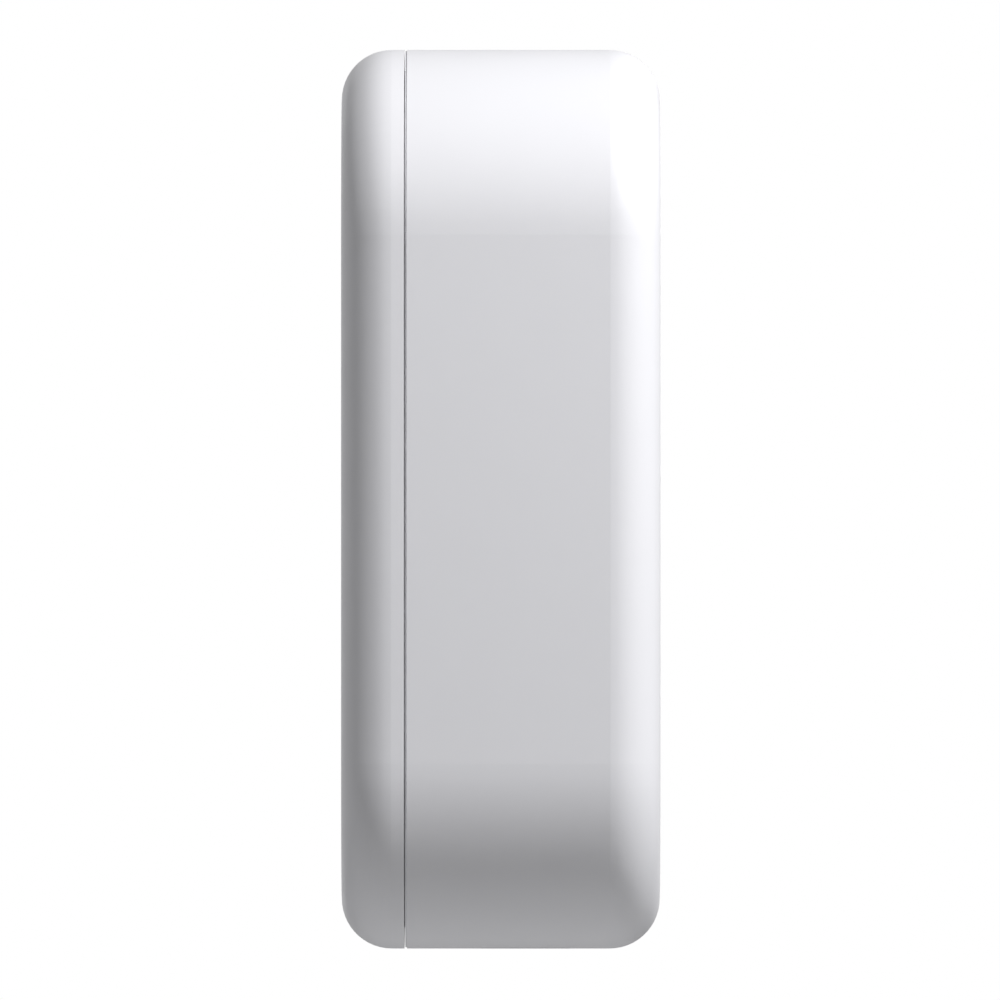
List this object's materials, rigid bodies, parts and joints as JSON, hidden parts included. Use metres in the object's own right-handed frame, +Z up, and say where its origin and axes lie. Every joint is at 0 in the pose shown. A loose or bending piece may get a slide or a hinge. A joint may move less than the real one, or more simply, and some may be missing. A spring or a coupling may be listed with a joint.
{
  "type": "video doorbell",
  "caption": "Capsule-shaped battery video doorbell with a camera window, a lit push button and a speaker, held by magnets on a screwed wall plate.",
  "frame": {"origin": "middle of the wall plate's back face, on the wall", "axes": "+Z up, -Y out of the wall through the front face, +Y into the wall, +X to the right seen from the front"},
  "size_m": [0.044, 0.0375, 0.106],
  "materials": {
    "white_case": "fine satin moulded ABS/PC",
    "cover_grey": "fine matt moulded ABS/PC",
    "button_white": "fine satin moulded ABS/PC",
    "window_black": "polished black acrylic",
    "ir_acrylic": "polished infrared-passing acrylic",
    "light_guide": "frosted translucent polycarbonate",
    "pir_film": "milky HDPE",
    "lens_metal": "black anodised",
    "optical_glass": "coated, polished",
    "holder_black": "matt glass-filled nylon",
    "board": "solder-masked FR4",
    "chip_black": "matt epoxy moulding",
    "shield_can": "tinned steel sheet",
    "screw_steel": "zinc-plated steel",
    "strike_steel": "nickel-plated steel sheet",
    "magnet_nickel": "nickel-plated neodymium",
    "gasket_rubber": "matt silicone rubber",
    "plug_silicone": "matt silicone rubber",
    "foam": "closed-cell foam",
    "cell_wrap": "heat-shrunk PVC sleeve on a steel can",
    "red_lead": "PVC insulation",
    "black_lead": "PVC insulation",
    "led_clear": "clear epoxy",
    "connector_nylon": "natural nylon",
    "polyimide": "polyimide film",
    "contact_gold": "gold-plated",
    "acoustic_mesh": "woven polyester",
    "cone_film": "thin moulded film"
  },
  "bodies": {
    "wall_plate": {"wall_plate": "white_case", "plate_magnets": "magnet_nickel"},
    "unit": {"front_housing": "white_case", "rear_cover": "cover_grey", "rear_gasket": "gasket_rubber", "rear_screws": "screw_steel", "strike_plates": "strike_steel", "main_board": "board", "board_screws": "screw_steel", "ir_leds": "led_clear", "ring_leds": "led_clear", "pir_sensor": "shield_can", "light_sensor": "chip_black", "processor_shield": "shield_can", "wifi_module": "shield_can", "antenna": "polyimide", "microphone": "shield_can", "mic_gasket": "gasket_rubber", "mic_mesh": "acoustic_mesh", "light_ring": "light_guide", "button_switch": "chip_black", "button_spring": "screw_steel", "window_panel": "window_black", "ir_windows": "ir_acrylic", "lens_bezel": "lens_metal", "cover_glass": "optical_glass", "pir_lens": "pir_film", "lens_foam": "foam", "lens_barrel": "lens_metal", "front_lens": "optical_glass", "rear_lens": "optical_glass", "lens_holder": "holder_black", "camera_screws": "screw_steel", "image_sensor": "chip_black", "camera_board": "board", "camera_flex": "polyimide", "flex_connectors": "connector_nylon", "charging_board": "board", "charging_screws": "screw_steel", "usb_port": "shield_can", "pair_switch": "chip_black", "tamper_sensor": "chip_black", "board_connectors": "chip_black", "battery_cell": "cell_wrap", "protection_board": "board", "battery_pads": "foam", "battery_socket": "connector_nylon", "battery_plug": "connector_nylon", "battery_lead_red": "red_lead", "battery_lead_black": "black_lead", "speaker": "chip_black", "speaker_gasket": "foam", "speaker_mesh": "acoustic_mesh", "speaker_contacts": "contact_gold"},
    "button": {"button_cap": "button_white"},
    "switch_plunger": {"switch_plunger": "chip_black"},
    "pair_button": {"pair_button": "button_white"},
    "pair_switch_stem": {"pair_switch_stem": "chip_black"},
    "usb_cover": {"usb_cover": "plug_silicone"},
    "speaker_cone": {"speaker_cone": "cone_film"}
  },
  "joints": [
    {"name": "unit_pull", "type": "slide", "parent": "wall_plate", "child": "unit", "axis": [0, -1, 0], "range_m": [0, 0.045]},
    {"name": "button_press", "type": "slide", "parent": "unit", "child": "button", "axis": [0, 1, 0], "range_m": [0, 0.0005], "stiffness_N_per_m": 3000, "springref_m": -0.0002, "deforming": ["button_spring"]},
    {"name": "plunger_press", "type": "slide", "parent": "unit", "child": "switch_plunger", "axis": [0, 1, 0], "range_m": [0, 0.0005]},
    {"name": "pair_press", "type": "slide", "parent": "unit", "child": "pair_button", "axis": [0, -1, 0], "range_m": [0, 0.0005], "stiffness_N_per_m": 3000, "springref_m": -0.0002},
    {"name": "pair_stem_press", "type": "slide", "parent": "unit", "child": "pair_switch_stem", "axis": [0, -1, 0], "range_m": [0, 0.0005]},
    {"name": "usb_cover_pull", "type": "slide", "parent": "unit", "child": "usb_cover", "axis": [0, 1, 0], "range_m": [0, 0.005]},
    {"name": "cone_stroke", "type": "slide", "parent": "unit", "child": "speaker_cone", "axis": [0, 0, 1], "range_m": [-0.0003, 0.0003], "stiffness_N_per_m": 1000}
  ],
  "couplings": [
    {"joint": "plunger_press", "follows": "button_press", "ratio": 1},
    {"joint": "pair_stem_press", "follows": "pair_press", "ratio": 1}
  ]
}
